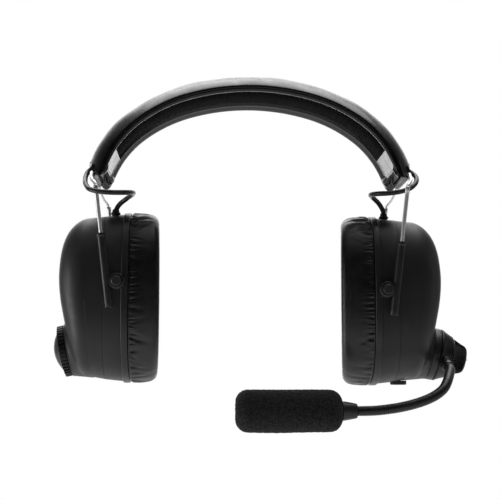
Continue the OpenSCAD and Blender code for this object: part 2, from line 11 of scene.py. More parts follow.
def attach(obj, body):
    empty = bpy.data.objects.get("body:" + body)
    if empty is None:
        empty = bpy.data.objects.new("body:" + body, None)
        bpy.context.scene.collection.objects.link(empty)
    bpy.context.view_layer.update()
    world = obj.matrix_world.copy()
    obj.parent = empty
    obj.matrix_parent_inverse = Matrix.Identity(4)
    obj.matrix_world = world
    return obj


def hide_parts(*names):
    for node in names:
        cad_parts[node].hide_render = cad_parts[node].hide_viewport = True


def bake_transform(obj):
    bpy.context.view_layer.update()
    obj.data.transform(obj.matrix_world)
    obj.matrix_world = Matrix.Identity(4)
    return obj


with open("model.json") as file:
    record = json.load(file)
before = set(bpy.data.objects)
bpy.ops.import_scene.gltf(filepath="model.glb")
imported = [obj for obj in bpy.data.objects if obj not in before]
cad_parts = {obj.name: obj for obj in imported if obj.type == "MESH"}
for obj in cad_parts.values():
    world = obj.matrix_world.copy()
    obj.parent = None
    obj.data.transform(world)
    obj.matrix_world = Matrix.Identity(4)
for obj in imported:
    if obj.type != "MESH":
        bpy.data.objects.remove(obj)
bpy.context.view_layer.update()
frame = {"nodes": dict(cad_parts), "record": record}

MM = 0.001
NODES = frame["nodes"]


# ---- helpers

def unit(v):
    v = np.asarray(v, float)
    return v / np.linalg.norm(v)


def smoothstep(a, b, x):
    t = np.clip((np.asarray(x, float) - a) / (b - a), 0, 1)
    return t * t * (3 - 2 * t)


def grid_faces(nu, nv, close_u, close_v, base=0):
    """Quads over an nu x nv grid of points, outward when u x v points out."""
    out = []
    for i in range(nu if close_u else nu - 1):
        for j in range(nv if close_v else nv - 1):
            a, b = i, (i + 1) % nu
            c, d = j, (j + 1) % nv
            out.append((base + a * nv + c, base + b * nv + c, base + b * nv + d, base + a * nv + d))
    return out


def place(name, data):
    """A new object in the scene."""
    ob = bpy.data.objects.new(name, data)
    bpy.context.scene.collection.objects.link(ob)
    return ob


def make(name, verts, faces, body, mat):
    """A mesh piece from points in mm that rides on a body."""
    me = bpy.data.meshes.new(name)
    me.from_pydata([tuple(float(c) * MM for c in v) for v in verts], [], faces)
    me.validate()
    bm = bmesh.new()
    bm.from_mesh(me)
    bmesh.ops.recalc_face_normals(bm, faces=bm.faces)
    bm.to_mesh(me)
    bm.free()
    me.polygons.foreach_set("use_smooth", [True] * len(me.polygons))
    me.materials.append(mat)
    ob = place(name, me)
    if body:
        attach(ob, body)
    return ob


def tube_points(path, radius, n):
    """Rings of n points round a path, with a steady twist."""
    path = np.asarray(path, float)
    m = len(path)
    radius = np.broadcast_to(radius, (m,)) if np.ndim(radius) < 2 else radius
    rings = np.zeros((m, n, 3))
    u = np.array((0.31, 0.22, 0.93))
    ang = 2 * pi * np.arange(n) / n
    for i in range(m):
        t = unit(path[min(i + 1, m - 1)] - path[max(i - 1, 0)])
        u = unit(u - u.dot(t) * t)
        w = np.cross(t, u)
        r = radius[i]
        rings[i] = path[i] + np.outer(np.cos(ang), u) * r + np.outer(np.sin(ang), w) * r
    return rings


def capped(rings):
    """Points and faces of a closed tube over rings."""
    m, n = rings.shape[:2]
    faces = grid_faces(m, n, False, True)
    faces.append(tuple(range(n - 1, -1, -1)))
    faces.append(tuple((m - 1) * n + j for j in range(n)))
    return rings.reshape(-1, 3), faces


def spline(a, b, c, d, t):
    """Place between b and c on a smooth curve through a, b, c and d."""
    return 0.5 * (2 * b + (c - a) * t + (2 * a - 5 * b + 4 * c - d) * t * t
                  + (3 * b - a - 3 * c + d) * t ** 3)


def curve_through(points, per_span):
    """Smooth curve through a few design points."""
    p = np.asarray(points, float)
    last = len(p) - 1
    out = [spline(p[max(i - 1, 0)], p[i], p[i + 1], p[min(i + 2, last)], k / per_span)
           for i in range(last) for k in range(per_span)]
    return np.array(out + [p[-1]])


def walked(path):
    """Distance along a path at each of its points."""
    return np.concatenate([[0], np.cumsum(np.linalg.norm(np.diff(path, axis=0), axis=1))])


def even(path, step):
    """The same path with points a fixed distance apart."""
    d = walked(path)
    n = max(2, int(round(d[-1] / step)) + 1)
    s = np.linspace(0, d[-1], n)
    return np.stack([np.interp(s, d, path[:, k]) for k in range(3)], 1), s


def lathe(profile, n, origin, axis, ref=(0, 1, 0), ripple=None):
    """Turned points: profile is (radius, height) pairs along axis; ripple changes a radius."""
    a = unit(axis)
    e1 = unit(np.array(ref, float) - np.dot(ref, a) * a)
    e2 = np.cross(a, e1)
    ang = 2 * pi * np.arange(n) / n
    round_it = np.outer(np.cos(ang), e1) + np.outer(np.sin(ang), e2)
    rings = []
    for r, h in profile:
        rr = (np.full(n, float(r)) if ripple is None else ripple(r, h, ang))[:, None]
        rings.append(np.asarray(origin) + a * h + rr * round_it)
    return np.array(rings)


def looped(rings):
    """Points and faces of rings whose section is a closed loop."""
    return rings.reshape(-1, 3), grid_faces(*rings.shape[:2], True, True)


def turned(name, profile, n, s, body, mat, node=None, ripple=None, skin=looped, angle=35):
    """A turned piece on a cup's seat."""
    origin, axis = seat_frame(s)
    ob = make(name, *skin(lathe(profile, n, origin, axis, ripple=ripple)), body, mat)
    finish_piece(ob, node, angle)


def points_of(me):
    return np.array([v.co for v in me.vertices])


def push_out(me, amount):
    """Moves each point of a mesh along its normal, by an amount in metres."""
    no = np.array([v.normal for v in me.vertices])
    me.vertices.foreach_set("co", (points_of(me) + no * amount.reshape(-1, 1)).ravel())
    me.update()


def finish_piece(ob, node=None, angle=None):
    """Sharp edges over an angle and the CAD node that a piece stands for."""
    if angle:
        ob.data.polygons.foreach_set("use_smooth", [True] * len(ob.data.polygons))
        ob.data.set_sharp_from_angle(angle=radians(angle))
    if node:
        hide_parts(node)


# ---- materials

class Mat:
    """Small builder for a node material."""

    def __init__(self, name, color, rough, metal=0.0, spec=0.5):
        self.m = bpy.data.materials.new(name)
        self.m.use_nodes = True
        self.t = self.m.node_tree
        self.b = self.t.nodes["Principled BSDF"]
        self.put(Base_Color=(*color, 1), Roughness=rough, Metallic=metal, Specular_IOR_Level=spec)
        self.coord = self.node("ShaderNodeTexCoord").outputs["Object"]
        self.normal = None

    def put(self, **values):
        """Sets inputs of the surface shader."""
        for k, v in values.items():
            self.b.inputs[k.replace("_", " ")].default_value = v

    def node(self, kind, **sets):
        n = self.t.nodes.new(kind)
        for k, v in sets.items():
            if hasattr(n, k):
                setattr(n, k, v)
            else:
                n.inputs[k.replace("_", " ")].default_value = v
        return n

    def link(self, a, b):
        self.t.links.new(a, b)

    def scaled(self, sx, sy, sz):
        n = self.node("ShaderNodeMapping", Scale=(sx, sy, sz))
        self.link(self.coord, n.inputs["Vector"])
        return n.outputs["Vector"]

    def noise(self, scale, detail=3, rough=0.55, vec=None):
        n = self.node("ShaderNodeTexNoise", Scale=scale, Detail=detail, Roughness=rough)
        self.link(vec or self.coord, n.inputs["Vector"])
        return n.outputs["Fac"]

    def cells(self, scale, feature="F1"):
        n = self.node("ShaderNodeTexVoronoi", feature=feature, Scale=scale)
        self.link(self.coord, n.inputs["Vector"])
        return n.outputs["Distance"]

    def remap(self, fac, lo, hi, a=0.0, b=1.0):
        n = self.node("ShaderNodeMapRange", From_Min=lo, From_Max=hi, To_Min=a, To_Max=b)
        self.link(fac, n.inputs["Value"])
        return n.outputs["Result"]

    def math(self, op, a, b):
        n = self.node("ShaderNodeMath", operation=op)
        for k, v in enumerate((a, b)):
            if isinstance(v, (int, float)):
                n.inputs[k].default_value = v
            else:
                self.link(v, n.inputs[k])
        return n.outputs[0]

    def tint(self, fac, stops):
        """Base colour from a ramp."""
        n = self.node("ShaderNodeValToRGB")
        r = n.color_ramp
        while len(r.elements) < len(stops):
            r.elements.new(0.5)
        for e, (p, c) in zip(r.elements, stops):
            e.position = p
            e.color = (*c, 1)
        self.link(fac, n.inputs["Fac"])
        self.link(n.outputs["Color"], self.b.inputs["Base Color"])

    def rough(self, fac, lo, hi):
        self.link(self.remap(fac, 0.3, 0.7, lo, hi), self.b.inputs["Roughness"])

    def bump(self, fac, height_mm, strength=1.0):
        n = self.node("ShaderNodeBump", Strength=strength, Distance=height_mm * MM)
        self.link(fac, n.inputs["Height"])
        if self.normal:
            self.link(self.normal, n.inputs["Normal"])
        self.normal = n.outputs["Normal"]
        self.link(self.normal, self.b.inputs["Normal"])


BLACK = (0.013, 0.013, 0.0135)


def leather(name, grain, rough=0.36, spec=0.35, coat=0.0):
    m = Mat(name, BLACK, rough, spec=spec)
    m.tint(m.noise(60, 4), [(0.3, (0.004, 0.004, 0.0043)), (0.7, (0.0065, 0.0065, 0.007))])
    m.rough(m.noise(140, 3), rough - 0.04, rough + 0.08)
    m.bump(m.remap(m.cells(grain, "DISTANCE_TO_EDGE"), 0.0, 0.25), 0.03, 0.7)
    m.bump(m.noise(520, 3), 0.05, 0.5)
    m.bump(m.noise(170, 3), 0.05, 0.3)
    if coat:
        m.put(Coat_Weight=coat, Coat_Roughness=0.14)
    return m.m


def plastic(name, color, rough, grain=2600, height=0.010, spec=0.42):
    m = Mat(name, color, rough, spec=spec)
    c = np.array(color)
    m.tint(m.noise(45, 4), [(0.3, c * 0.86), (0.7, c * 1.12)])
    m.rough(m.noise(220, 4), rough - 0.05, rough + 0.06)
    m.bump(m.noise(grain, 2, 0.6), height, 0.7)
    return m.m


def rubber(name, rough=0.5):
    m = Mat(name, (0.014, 0.014, 0.0145), rough, spec=0.4)
    m.tint(m.noise(90, 4), [(0.3, (0.011, 0.011, 0.011)), (0.7, (0.019, 0.019, 0.0195))])
    m.rough(m.noise(300, 3), rough - 0.07, rough + 0.07)
    m.bump(m.noise(1800, 2), 0.012, 0.6)
    return m.m


def steel(name, color, rough, metal=1.0):
    m = Mat(name, color, rough, metal)
    drawn = m.scaled(900, 900, 25)
    m.rough(m.noise(3.0, 3, vec=drawn), rough - 0.05, rough + 0.08)
    m.tint(m.noise(40, 3), [(0.3, np.array(color) * 0.93), (0.7, color)])
    m.bump(m.noise(2.0, 2, vec=drawn), 0.004, 0.5)
    return m.m


def foam(name, color, pore, height=0.35):
    m = Mat(name, color, 0.95, spec=0.2)
    c = np.array(color)
    pores = m.remap(m.cells(pore), 0.05, 0.55)
    # Painted shade and painted light: the colour is darkened down into the pores and lightened on
    # the raised foam between them, following the same pattern as the bump; the noise adds random
    # tone.
    m.tint(m.math("MULTIPLY", pores, m.noise(pore * 0.6, 3)), [(0.14, c * 0.2), (0.55, c * 3.0)])
    m.bump(pores, height, 0.9)
    m.bump(m.noise(pore * 2.3, 3), height * 0.4, 0.7)
    m.put(Sheen_Weight=0.04, Sheen_Roughness=0.6, Sheen_Tint=(0.4, 0.4, 0.4, 1))
    return m.m


def fabric(name, color, pitch):
    """Knitted cover: rows of small loops with fine holes."""
    m = Mat(name, color, 0.9, spec=0.04)
    c = np.array(color)
    w = 2 * pi / (pitch * MM)
    sep = m.node("ShaderNodeSeparateXYZ")
    m.link(m.coord, sep.inputs[0])
    bend = m.math("MULTIPLY", m.noise(700, 2), 1.2)
    a = m.math("SINE", m.math("ADD", m.math("MULTIPLY", sep.outputs["X"], w), bend), 0)
    b = m.math("SINE", m.math("ADD", m.math("MULTIPLY", sep.outputs["Y"], w), bend), 0)
    knit = m.math("MULTIPLY", a, b)
    # Painted shade and painted light: the colour is darker in the knit's holes and lighter on its
    # raised loops, following the same pattern as the bump.
    m.tint(m.remap(knit, -1, 1), [(0.15, c * 0.5), (0.8, c * 1.5)])
    m.bump(knit, 0.06, 0.7)
    m.bump(m.noise(2500, 3), 0.02, 0.6)
    return m.m


M_BAND = leather("band_leatherette", 1100, 0.34, 0.3, 0.3)
M_CUSHION = leather("cushion_leatherette", 1400, 0.34, 0.62)
M_PAD = fabric("pad_knit", (0.004, 0.004, 0.0042), 1.1)
M_SHELL = plastic("cup_plastic", (0.021, 0.021, 0.0215), 0.44)
M_SATIN = plastic("satin_plastic", (0.026, 0.026, 0.0265), 0.33, 3200, 0.006)
M_DARK = plastic("dark_plastic", (0.009, 0.009, 0.0095), 0.40, 2200, 0.01, 0.38)
M_RUBBER = rubber("lead_rubber", 0.38)
M_PLUG = rubber("plug_rubber", 0.55)
M_NECK = rubber("neck_rubber", 0.36)
M_STEEL = steel("spring_steel", (0.90, 0.90, 0.91), 0.38, 0.72)
M_BLACKENED = steel("blackened_metal", (0.10, 0.10, 0.102), 0.30, 0.9)
M_NICKEL = steel("nickel", (0.70, 0.67, 0.62), 0.24)
M_FOAM = foam("windscreen_foam", (0.011, 0.011, 0.0115), 1500)
M_LINER = foam("liner_foam", (0.03, 0.03, 0.031), 1100, 0.2)


def board_material():
    m = Mat("circuit_board", (0.02, 0.09, 0.04), 0.4)
    tracks = m.cells(300, "DISTANCE_TO_EDGE")
    m.tint(tracks, [(0.04, (0.05, 0.16, 0.08)), (0.12, (0.02, 0.08, 0.035))])
    m.bump(tracks, 0.03)
    return m.m


def foil_material():
    m = Mat("battery_foil", (0.55, 0.55, 0.57), 0.4, 0.9)
    m.rough(m.noise(60, 4), 0.3, 0.55)
    m.bump(m.noise(120, 4), 0.15, 0.5)
    return m.m


M_BOARD = board_material()
M_FOIL = foil_material()


# ---- camera

# The camera stands low and slightly to the left, looking up a little.
TURN, RISE = radians(2), radians(6.6)
SIGHT = unit((sin(TURN) * cos(RISE), cos(TURN) * cos(RISE), sin(RISE)))
AIM = np.array((0, 0, -96.0))
CAM_DISTANCE = 700.0
CAM_SCALE = 0.624  # mm a pixel at the aim point, in a 500 pixel frame


def make_camera():
    data = bpy.data.cameras.new("camera")
    data.sensor_width = 36.0
    data.lens = 36.0 * CAM_DISTANCE / (500 * CAM_SCALE)
    data.clip_start, data.clip_end = 0.02, 40
    cam = place("camera", data)
    right = unit(np.cross(SIGHT, (0, 0, 1)))
    up = np.cross(right, SIGHT)
    m = np.eye(4)
    m[:3] = np.stack([right, up, -SIGHT, (AIM - SIGHT * CAM_DISTANCE) * MM], 1)
    cam.matrix_world = Matrix(m.tolist())
    bpy.context.scene.camera = cam


# ---- shared sizes (mm)

SIDES = LEFT, RIGHT = -1, 1
CUP_Z = {LEFT: -126.1, RIGHT: -127.7}
PIVOT_Z = {LEFT: -119.4, RIGHT: -123.9}
SIDE = {LEFT: "left", RIGHT: "right"}
CUP_H, CUP_W, WALL = 104.4, 76.4, 2.2
HZ, HY = CUP_H / 2 - 0.5, CUP_W / 2 - 0.5
SQUARENESS = 2.6  # power of the cup's rounded-rectangle outline; 2 is an ellipse
NARROWING = 0.00207  # how much smaller the outline gets for each mm outboard
FLANGE_X, RING_T, SEAM_X = 73.0, 4.2, 88.0
FLAT_Z, SLOPE_Z = 16, -8  # the cup's back is flat above the first and slopes below the second
CUP_DEPTH, SLOPE, EASE = 43.6, 0.2, 2.4  # EASE is the depth lost between those two heights
TILT = atan(SLOPE)
SEAT_Z, SEAT_RISE, SEAT_R = -32.3, 1.8, 16.1
SEAT_X = FLANGE_X + CUP_DEPTH - EASE - SLOPE * (SLOPE_Z - SEAT_Z) + SEAT_RISE
PIVOT_X = 79.2
ROD_TILT, ROD_X, ROD_Y, ROD_Z = radians(7), 85.7, 42.5, -115.3
ROD_LOW = -131  # height of the rods' lower ends
HINGE = np.array((96.5, 0, -51.2))
BAND_T, BAND_HW, PAD_HW = 13.6, 26.4, 17.5
BAND_R = (150.0, 105.0, 75.0)
BEND = (np.array((0.28, 0.96)), np.array((0.6, 0.8)))
CENTRE = [np.array((0, BAND_T - BAND_R[0]))]
CENTRE.append(CENTRE[0] + (BAND_R[0] - BAND_R[1]) * BEND[0])
CENTRE.append(CENTRE[1] + (BAND_R[1] - BAND_R[2]) * BEND[1])
BEND_A = (asin(0.28), asin(0.6))


def band_point(a, h, y):
    """Point on the band: angle from straight up, height above the underside, front-to-back."""
    s, b = (-1 if a < 0 else 1), abs(a)
    k = 0 if b < BEND_A[0] else 1 if b < BEND_A[1] else 2
    r = BAND_R[k] - BAND_T + h
    return np.array((s * (CENTRE[k][0] + r * sin(b)), y, CENTRE[k][1] + r * cos(b)))


def band_arc(a):
    """Distance along the band's outside from the crown to angle a."""
    b = abs(a)
    parts = (min(b, BEND_A[0]), max(0, min(b, BEND_A[1]) - BEND_A[0]), max(0, b - BEND_A[1]))
    return sum(p * r for p, r in zip(parts, BAND_R))


def rod_point(s, y, z):
    return np.array((s * (ROD_X + (z - ROD_Z) * np.tan(ROD_TILT)), y, z))


def mirror(pts, s):
    pts = np.array(pts, float)
    pts[..., 0] *= s
    return pts


# ---- leads

# Each lead leaves the band's end, goes round the front rod and into the top of its cup.
LEAD_D = 3.0
LEAD_X = 83.2  # where the leads enter the tops of the cups
LEAD_Y = {LEFT: -6.0, RIGHT: -5.0}
CUP_TOP = {s: CUP_Z[s] + HZ * (1 - NARROWING * (LEAD_X - FLANGE_X)) for s in SIDES}
LEAD_ROUTE = {
    LEFT: [(95.4, -9, -43.4), (97.4, -9.2, -46.2), (100.2, -11, -49.4), (101, -16, -53.2),
           (100, -27, -58.6), (97.8, -36.5, -62.8), (95.2, -43.2, -65.6), (90, -47.3, -67.4),
           (83, -48.6, -68.2), (76, -43.5, -67.4), (71.6, -34, -65.8), (71.6, -22, -64.6),
           (76, -11, -65.6), (80.8, -6.6, -68.6), (83.1, -6, CUP_TOP[LEFT] + 3)],
    RIGHT: [(95.4, -9, -43.4), (97.4, -9.2, -46.2), (100.4, -11, -48.8), (102, -16, -52.2),
            (100.4, -24, -57), (96, -30, -61.4), (89.6, -34.2, -64.2), (82, -34.5, -65.4),
            (76, -31, -65.2), (73, -23, -64.4), (75, -12.5, -64), (80, -6, -67),
            (82.8, -5, -71.4), (LEAD_X, -5, CUP_TOP[RIGHT] + 2)],
}
for cup_side in SIDES:  # straight down into the cup
    LEAD_ROUTE[cup_side] += [(LEAD_X, LEAD_Y[cup_side], CUP_TOP[cup_side] - d) for d in (2, 6)]
LEAD_JOINS = {LEFT: (8, 11), RIGHT: (5, 9)}  # route points where a lead changes bodies


def tube(name, path, radius, body, mat, n=16):
    return make(name, *capped(tube_points(path, radius, n)), body, mat)


def make_leads():
    for s in SIDES:
        side, route = SIDE[s], LEAD_ROUTE[s]
        line = mirror(curve_through(route, 10), s)
        a, b = (10 * k for k in LEAD_JOINS[s])
        parts = ((line[:a + 1], "headband", f"{side}_fork"),
                 (line[a:b + 1], f"{side}_fork", f"{side}_yoke"),
                 (line[b:], f"{side}_yoke", f"{side}_cup"))
        for k, (pts, one, two) in enumerate(parts):
            path, dist = even(pts, 0.9)
            ob = tube(f"{side}_lead_{k + 1}", path, LEAD_D / 2, None, M_RUBBER)
            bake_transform(ob)
            if k == 0:
                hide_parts(f"{side}_lead")


# ---- headband

BAND_END = radians(70)
PAD_END = radians(57.2)
PAD_RECESS = 3.45  # depth of the cover's hollow over the pad
END_MIDDLE = 6.3  # height of the middle of the cover's end
TAB_START = radians(58)  # from here the cover's sides run on past its top


def dome_height(y):
    """Height of the band's domed top over its underside at y."""
    h = BAND_T - 2
    r = (BAND_HW ** 2 + h ** 2) / (2 * h)
    return 2 + h - r + np.sqrt(r * r - y * y)


def band_section():
    """Half of the cover's outline, (y, height) from the middle below to the middle above."""
    low = [(y, 0.6) for y in np.linspace(0, PAD_HW - 0.1, 9)]
    low += [(PAD_HW + 0.15, 0.6), (19.2, 0.55), (20.6, 0.2), (22.0, -0.45), (23.4, -0.95),
            (24.6, -1.15), (25.5, -0.95), (26.15, -0.35), (26.42, 0.35), (26.3, 1.0), (25.95, 1.45),
            (25.9, 1.75), (26.05, 2.2)]
    top = [(y, dome_height(y)) for y in np.linspace(25.6, 0, 24)]
    return low, top


def band_angles():
    """Stations along the band, closer at the pad's ends and the band's ends."""
    main = list(np.linspace(-BAND_END, BAND_END, 281))
    extra = [f * (PAD_END + radians(d)) for f in (-1, 1) for d in (0.12, 0.22, 0.42)]
    return sorted(main + extra)


def cover_reach(a, y, h):
    """Angle of a cover point: the sides run on past the top into rounded tabs."""
    b = abs(a)
    if b < TAB_START:
        return a
    side = smoothstep(12, 24, abs(y))
    if h < 2.8:
        tip = sqrt(max(0, 1 - ((2.8 - h) / 4.0) ** 2))
    else:
        tip = 1 - 0.76 * ((h - 2.8) / 10.2) ** 1.3
    reach = BAND_END + (radians(67.8 + 8.7 * tip) - BAND_END) * side
    return np.sign(a) * (TAB_START + (b - TAB_START) * (reach - TAB_START) / (BAND_END - TAB_START))


def make_band_cover():
    low, top = band_section()
    half = low + top
    ring = half + [(-y, h) for y, h in half[-2:0:-1]]
    verts = []
    stations = band_angles()
    for a in stations:
        for y, h in ring:
            hh = h
            if abs(a) < PAD_END + radians(0.2) and abs(y) < PAD_HW and h < 2:
                hh = PAD_RECESS
            end = smoothstep(radians(60), BAND_END, abs(a))
            if h > 2:  # faint unevenness of padding under the skin
                x = band_arc(a) * np.sign(a)
                wave = 0.16 * sin(x / 9.0 + 0.6 * sin(y / 7)) + 0.10 * sin(x / 4.3 + y / 5)
                crease = -0.35 * np.exp(-((x + 12 + 0.12 * y) / 1.3) ** 2)
                hh += (wave + crease) * smoothstep(0, 10, h) - 0.5 * end * smoothstep(6, 13, h)
            verts.append(band_point(cover_reach(a, y, h), hh, y))
    n = len(ring)
    faces = grid_faces(len(stations), n, False, True)
    for first, sign in ((0, -1), ((len(stations) - 1) * n, 1)):
        rim = np.array(verts[first:first + n])
        centre = band_point(sign * (BAND_END - radians(0.6)), END_MIDDLE, 0)
        inward = unit(centre - band_point(sign * (BAND_END - radians(3)), END_MIDDLE, 0))
        last = first
        for t in (0.06, 0.16, 0.34, 0.6, 0.85):
            here = len(verts)
            verts += list(rim + (centre - rim) * t - inward * 1.6 * sin(pi * t))
            faces += [(last + j, last + (j + 1) % n, here + (j + 1) % n, here + j)
                      for j in range(n)]
            last = here
        faces.append(tuple(last + j for j in range(n)))
    ob = make("headband_cover_skin", verts, faces, "headband", M_BAND)
    shell = ob.modifiers.new("thickness", "SOLIDIFY")
    shell.thickness = 1.3 * MM
    shell.offset = -1
    finish_piece(ob, "headband_cover")
    return ob


def make_band_pad():
    """Soft knitted pad, gathered along both long edges."""
    w = PAD_HW - 0.25
    across = [(-w, 3.4), (-w - 0.05, 2.9)]
    across += [(y, 2.55 * (-y / w) ** 2.4) for y in np.linspace(-w + 0.15, 0, 18)]
    across = across + [(-y, h) for y, h in across[-2::-1]]
    count = 520
    verts = []
    for i in range(count):
        a = -PAD_END + 2 * PAD_END * i / (count - 1)
        x = band_arc(a) * np.sign(a)
        end = smoothstep(radians(54.4), PAD_END, abs(a)) ** 2
        for y, h in across:
            edge = smoothstep(w - 6.5, w - 1, abs(y))
            fold = sin(x * 2 * pi / 3.4 + 1.3 * sin(x / 11.0) + 0.7 * np.sign(y))
            fine = sin(x * 2 * pi / 1.9 + y * 0.5)
            low = 1 - smoothstep(1.6, 3.0, h)
            hh = h + low * edge * (0.34 * fold + 0.12 * fine) + 0.45 * end * low
            yy = y - np.sign(y) * 0.22 * edge * low * (1 - fold)
            verts.append(band_point(a, hh, yy))
    n = len(across)
    faces = grid_faces(count, n, False, True)
    faces.append(tuple(range(n)))
    faces.append(tuple((count - 1) * n + j for j in range(n - 1, -1, -1)))
    ob = make("headband_pad_cover", verts, faces, "headband", M_PAD)
    finish_piece(ob, "headband_pad")
    return ob


# ---- cups

def superellipse(a, y, z):
    c, s, power = np.cos(a), np.sin(a), 2 / SQUARENESS
    return np.stack([y * np.sign(c) * np.abs(c) ** power, z * np.sign(s) * np.abs(s) ** power], -1)


def even_angles(n):
    """Angle values that put n points evenly round the cup's outline."""
    a = np.linspace(0, 2 * pi, 8001)
    d = walked(superellipse(a, HY, HZ))
    return np.interp(np.linspace(0, d[-1], n, endpoint=False), d, a)


CUP_N = 240
ANG = even_angles(CUP_N)


def taper(x):
    return 1 - NARROWING * (x - FLANGE_X)


SEAM_K = taper(SEAM_X)
DOME_START, DRAFT = 0.41, 0.065  # part of the depth that is plain wall, and how much it leans in
CROWN_K = 0.973  # size of the outline where the dome starts
SEAM_EDGE = 0.14  # rounding of the edges at the parting line


def depth(z):
    z = np.asarray(z, float)
    bend = CUP_DEPTH - 0.00417 * (FLAT_Z - z) ** 2
    lower = CUP_DEPTH - EASE - SLOPE * (SLOPE_Z - z)
    return np.where(z >= FLAT_Z, CUP_DEPTH, np.where(z > SLOPE_Z, bend, lower))


def cup_world(pts, s):
    """Cup points (outboard x, y, height from the cup's centre) to the frame."""
    pts = np.array(pts, float)
    pts[..., 0] *= s
    pts[..., 2] += CUP_Z[s]
    return pts


PORT_AT = cup_world([91, -4, -HZ * taper(91)], RIGHT)


def cup_ring_points(f, k, inset):
    p = superellipse(ANG, HY - inset, HZ - inset) * np.broadcast_to(k, (CUP_N,))[:, None]
    x = SEAM_X + f * (depth(p[:, 1]) - (SEAM_X - FLANGE_X) - inset)
    return np.stack([x, p[:, 0], p[:, 1]], 1)


def seat_planes(inset):
    """Outward planes of the raised seat's body, the hull of the cup's wall and the seat's disc."""
    wall_rings = [cup_ring_points(f, SEAM_K * (1 - DRAFT * f), inset) for f in (0.2, DOME_START)]
    t = np.linspace(0, 2 * pi, 97)[:-1, None]
    across, up = np.array((0, 1, 0)), np.array((sin(TILT), 0, cos(TILT)))
    middle = np.array((SEAT_X, 0, SEAT_Z)) - (0.4 + inset) * np.array((cos(TILT), 0, -sin(TILT)))
    disc = middle + (SEAT_R - inset) * (np.cos(t) * across + np.sin(t) * up)
    bm = bmesh.new()
    for p in np.vstack(wall_rings + [disc]):
        bm.verts.new(p)
    bmesh.ops.convex_hull(bm, input=bm.verts[:])
    bm.normal_update()
    normal = np.array([f.normal for f in bm.faces])
    offset = np.array([f.normal.dot(f.verts[0].co) for f in bm.faces])
    bm.free()
    centre = np.array((98.0, 0, -20.0))
    flip = np.sign(offset - normal @ centre)[:, None]
    return normal * flip, offset * flip[:, 0], centre


def raise_to_seat(ring, planes, soft):
    """Moves a dome ring out to the raised seat where the seat stands proud of it."""
    normal, offset, centre = planes
    rel = ring - centre
    dome = np.linalg.norm(rel, axis=1)
    way = rel / dome[:, None]
    along = way @ normal.T
    reach = np.where(along > 1e-6, (offset - normal @ centre) / np.maximum(along, 1e-6), 1e9).min(1)
    h = np.clip(0.5 + 0.5 * (reach - dome) / max(soft, 1e-6), 0, 1)
    out = dome * (1 - h) + reach * h + soft * h * (1 - h)
    return centre + way * np.maximum(out, dome)[:, None]


def cover_rings(inset):
    """Rings of the outer cup from the seam to near the apex."""
    planes = seat_planes(inset)
    rings = [cup_ring_points(DOME_START * t, SEAM_K * (1 - DRAFT * DOME_START * t), inset)
             for t in np.linspace(0, 1, 9)]
    q = 1.5 + 2.75 * ((1 - np.sin(ANG)) / 2) ** 5  # squarer toward the bottom, under the seat
    for t in np.linspace(0, 1, 60)[1:-1]:
        b = pi / 2 * t ** 1.5
        f = DOME_START + (1 - DOME_START) * sin(b) ** (2 / q)
        ring = cup_ring_points(f, SEAM_K * CROWN_K * cos(b) ** (2 / 4.4), inset)
        rings.append(raise_to_seat(ring, planes, 1.6 * smoothstep(0.25, 0.6, t)))
    return rings


def seat_frame(s):
    """Origin and axis of the dial or boom seat, in the frame."""
    origin = np.array((s * SEAT_X, 0, CUP_Z[s] + SEAT_Z))
    axis = np.array((s * cos(TILT), 0, -sin(TILT)))
    return origin, axis


def cut(ob, verts, faces):
    """Takes a closed shape out of a piece."""
    tool = make("cutter", verts, faces, None, M_SHELL)
    m = ob.modifiers.new("cut", "BOOLEAN")
    m.operation, m.solver, m.object = "DIFFERENCE", "EXACT", tool
    bpy.context.view_layer.update()
    done = bpy.data.meshes.new_from_object(ob.evaluated_get(bpy.context.evaluated_depsgraph_get()))
    ob.modifiers.clear()
    ob.data = done
    bpy.data.objects.remove(tool)


def make_cup_cover(s):
    side = SIDE[s]
    outer = [cup_world(r, s) for r in cover_rings(0)]
    inner = [cup_world(r, s) for r in cover_rings(WALL)]
    lip = cup_world(cup_ring_points(0, SEAM_K, SEAM_EDGE), s)
    outer[0] = outer[0] + np.array((s * SEAM_EDGE, 0, 0))
    rings = np.array(inner[::-1] + [lip] + outer)
    verts = list(rings.reshape(-1, 3))
    faces = grid_faces(len(rings), CUP_N, False, True)
    for i in (0, len(rings) - 1):
        verts.append(rings[i].mean(0))
        faces += [(i * CUP_N + j, i * CUP_N + (j + 1) % CUP_N, len(verts) - 1)
                  for j in range(CUP_N)]
    ob = make(f"{side}_cup_shell", verts, faces, f"{side}_cup", M_SHELL)
    origin, axis = seat_frame(s)
    for r, low, high, n in ((16.6, -0.3, 9, 160), (4.05, -9, 12, 48)):  # seat, spindle hole
        cut(ob, *capped(lathe([(r, low), (r, high)], n, origin, axis)))
    if s == RIGHT:  # recess and hole of the port
        cut(ob, *capped(oval(PORT_AT, 10.4, 7.4, [(0, -2), (0, 0.6)])))
        hole = cup_world([92.2, -4, -HZ], s)
        cut(ob, *capped(lathe([(2.55, -3), (2.55, 8)], 48, hole, (0, 0, 1), (1, 0, 0))))
    finish_piece(ob, f"{side}_cup_cover", 38)
    rim = [(13, -1.6), (15.9, -1.6), (16.25, -1.2), (16.3, -0.35), (16.15, -0.1), (15.8, 0),
           (13, 0)]
    turned(f"{side}_seat_rim", rim, 160, s, f"{side}_cup", M_SHELL)


def oval(centre, length, width, steps, n=64):
    """Stadium rings stacked in Z: steps are (inset, height)."""
    out = []
    ang = 2 * pi * np.arange(n) / n
    for inset, h in steps:
        r = width / 2 - inset
        shift = (length - width) / 2 * np.sign(np.cos(ang + 1e-6))
        out.append(np.stack([centre[0] + shift + r * np.cos(ang), centre[1] + r * np.sin(ang),
                             np.full(n, centre[2] + h)], 1))
    return np.array(out)


